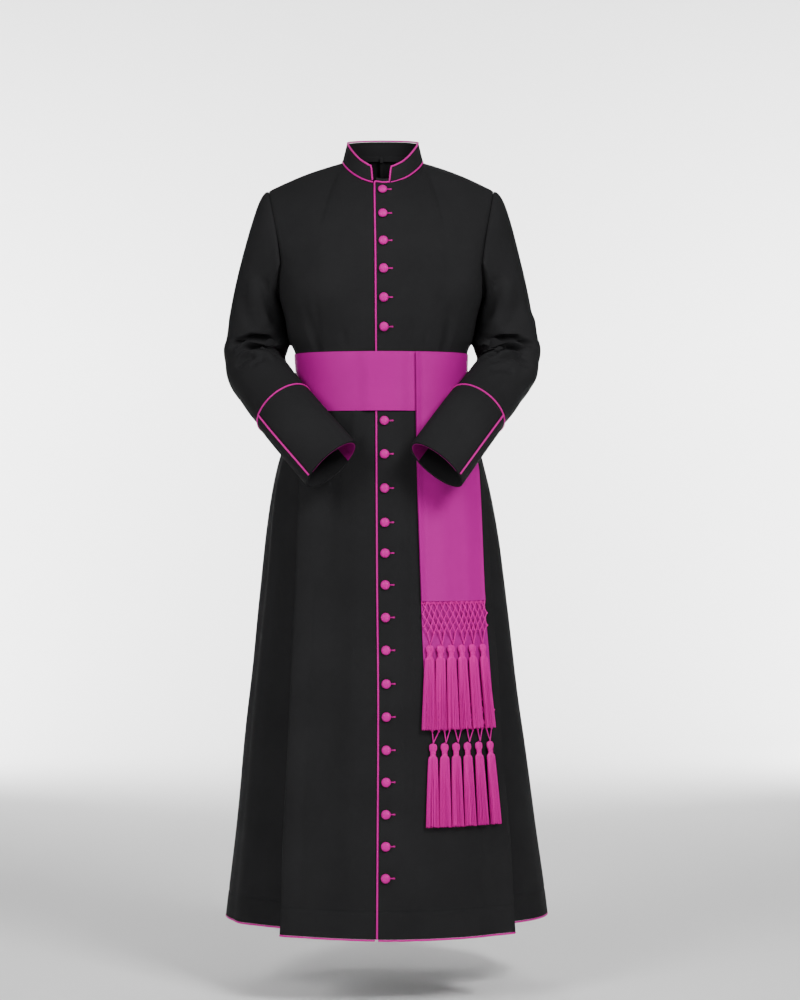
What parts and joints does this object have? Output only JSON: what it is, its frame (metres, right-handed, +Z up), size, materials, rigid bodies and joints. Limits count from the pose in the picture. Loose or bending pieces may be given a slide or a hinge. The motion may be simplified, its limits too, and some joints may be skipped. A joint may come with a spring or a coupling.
{
  "type": "cassock with fascia",
  "caption": "Ankle-length hollow clerical robe with a stand collar, buttoned lap front, folded-back cuffs and a wide waist sash whose two ends hang with netted tassel fringe.",
  "frame": {"origin": "the middle of the neck base, level with the points where the shoulder seams meet the neckline, where the wearer's shoulders hold the garment up", "axes": "+Z up along the wearer, the wearer faces -Y, +X to the wearer's left"},
  "size_m": [0.6276, 0.5686, 1.503],
  "materials": {
    "black_worsted": "black worsted wool, matt with a faint sheen",
    "magenta_piping": "magenta silk piping and cuff facing, satin",
    "magenta_silk": "magenta ribbed silk, low sheen",
    "magenta_cord": "magenta twisted silk cord and thread, soft sheen",
    "button_silk": "silk-covered button, satin"
  },
  "bodies": {
    "root": {"back_left": "black_worsted", "back_right": "black_worsted", "button_01": "button_silk", "button_02": "button_silk", "button_03": "button_silk", "button_04": "button_silk", "button_05": "button_silk", "button_06": "button_silk", "button_07": "button_silk", "button_08": "button_silk", "button_09": "button_silk", "button_10": "button_silk", "button_11": "button_silk", "button_12": "button_silk", "button_13": "button_silk", "button_14": "button_silk", "button_15": "button_silk", "button_16": "button_silk", "button_17": "button_silk", "button_18": "button_silk", "button_19": "button_silk", "button_20": "button_silk", "button_21": "button_silk", "collar": "black_worsted", "collar_piping": "magenta_piping", "cuff_facing_left": "magenta_piping", "cuff_facing_right": "magenta_piping", "cuff_left": "black_worsted", "cuff_piping_left": "magenta_piping", "cuff_piping_right": "magenta_piping", "cuff_right": "black_worsted", "cuff_seam_piping_left": "magenta_piping", "cuff_seam_piping_right": "magenta_piping", "fall_front": "magenta_silk", "fall_rear": "magenta_silk", "front_edge_piping": "magenta_piping", "front_left": "black_worsted", "front_right": "black_worsted", "hem_piping": "magenta_piping", "neckline_piping": "magenta_piping", "net_front": "magenta_cord", "net_rear": "magenta_cord", "sash_band": "magenta_silk", "sleeve_left": "black_worsted", "sleeve_right": "black_worsted", "tassel_front_1": "magenta_cord", "tassel_front_2": "magenta_cord", "tassel_front_3": "magenta_cord", "tassel_front_4": "magenta_cord", "tassel_front_5": "magenta_cord", "tassel_front_6": "magenta_cord", "tassel_rear_1": "magenta_cord", "tassel_rear_2": "magenta_cord", "tassel_rear_3": "magenta_cord", "tassel_rear_4": "magenta_cord", "tassel_rear_5": "magenta_cord", "tassel_rear_6": "magenta_cord"}
  },
  "joints": []
}
